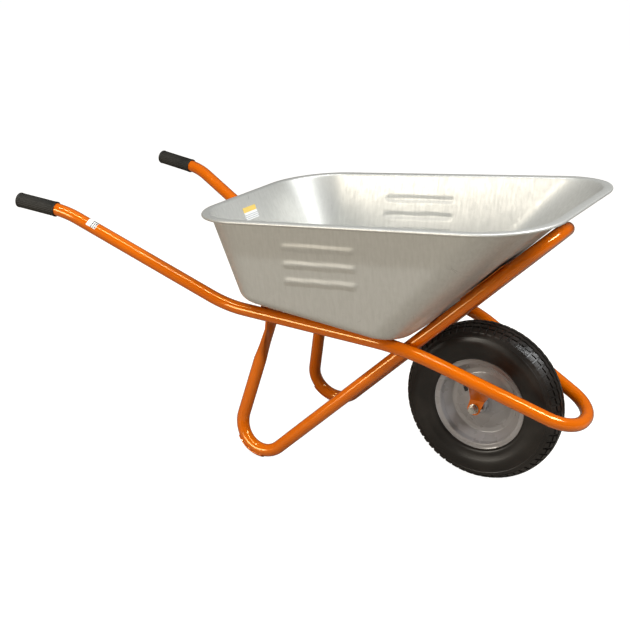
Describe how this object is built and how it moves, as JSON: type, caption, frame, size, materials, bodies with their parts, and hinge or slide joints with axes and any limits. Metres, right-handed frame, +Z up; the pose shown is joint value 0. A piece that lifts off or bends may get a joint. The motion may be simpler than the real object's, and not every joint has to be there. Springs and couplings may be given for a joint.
{
  "type": "wheelbarrow",
  "caption": "Single-wheel barrow with a deep pressed steel tray, a bent tube frame with rubber grips, looped feet and an air-filled wheel on ball bearings.",
  "frame": {"origin": "on the ground, midway along the barrow's length and width", "axes": "+X forward from the handles towards the wheel, +Y the user's left, +Z up"},
  "size_m": [1.4405, 0.6352, 0.7118],
  "materials": {
    "orange_powder_coat": "glossy powder coat",
    "galvanised_sheet": "galvanised, soft vertical streaks",
    "zinc_plate": "zinc plated",
    "bearing_steel": "ground and polished",
    "cage_steel": "pressed steel",
    "rim_paint": "glossy grey paint",
    "tyre_rubber": "moulded rubber",
    "tube_rubber": "smooth rubber",
    "grip_rubber": "satin rubber",
    "valve_chrome": "polished",
    "cap_plastic": "matte",
    "label_white": "printed film",
    "label_yellow": "printed film"
  },
  "bodies": {
    "chassis": {"axle_bolt": "zinc_plate", "axle_bracket_left": "orange_powder_coat", "axle_bracket_right": "orange_powder_coat", "axle_nut": "zinc_plate", "axle_spacers": "zinc_plate", "axle_washers": "zinc_plate", "bearing_inner_ring_left": "bearing_steel", "bearing_inner_ring_right": "bearing_steel", "crossing_welds": "orange_powder_coat", "foot_strip_left": "orange_powder_coat", "foot_strip_right": "orange_powder_coat", "front_cross_strap": "orange_powder_coat", "front_wall_plate": "orange_powder_coat", "grip_left": "grip_rubber", "grip_right": "grip_rubber", "handle_label": "label_white", "hub_sleeve": "zinc_plate", "leg_bolts": "zinc_plate", "leg_nuts": "zinc_plate", "leg_tube": "orange_powder_coat", "leg_washers": "zinc_plate", "main_tube": "orange_powder_coat", "rear_cross_member": "orange_powder_coat", "tray": "galvanised_sheet", "tray_bolts": "zinc_plate", "tray_label": "label_yellow", "tray_nuts": "zinc_plate", "tray_washers": "zinc_plate"},
    "wheel": {"tyre": "tyre_rubber", "inner_tube": "tube_rubber", "rim_half_left": "rim_paint", "rim_half_right": "rim_paint", "hub_tube": "rim_paint", "bearing_outer_ring_left": "bearing_steel", "bearing_outer_ring_right": "bearing_steel", "valve_foot": "tube_rubber", "valve_stem": "valve_chrome", "valve_cap": "cap_plastic"},
    "ball_set_left": {"bearing_balls_left": "bearing_steel", "bearing_cage_left": "cage_steel"},
    "ball_set_right": {"bearing_balls_right": "bearing_steel", "bearing_cage_right": "cage_steel"}
  },
  "joints": [
    {"name": "wheel_spin", "type": "hinge", "parent": "chassis", "child": "wheel", "pos_m": [0.4573, 0, 0.199], "axis": [0, 1, 0], "continuous": true},
    {"name": "ball_set_left_turn", "type": "hinge", "parent": "chassis", "child": "ball_set_left", "pos_m": [0.4573, 0.0365, 0.199], "axis": [0, 1, 0], "continuous": true},
    {"name": "ball_set_right_turn", "type": "hinge", "parent": "chassis", "child": "ball_set_right", "pos_m": [0.4573, -0.0365, 0.199], "axis": [0, 1, 0], "continuous": true}
  ],
  "couplings": [
    {"joint": "ball_set_left_turn", "follows": "wheel_spin", "ratio": 0.6227},
    {"joint": "ball_set_right_turn", "follows": "wheel_spin", "ratio": 0.6227}
  ]
}
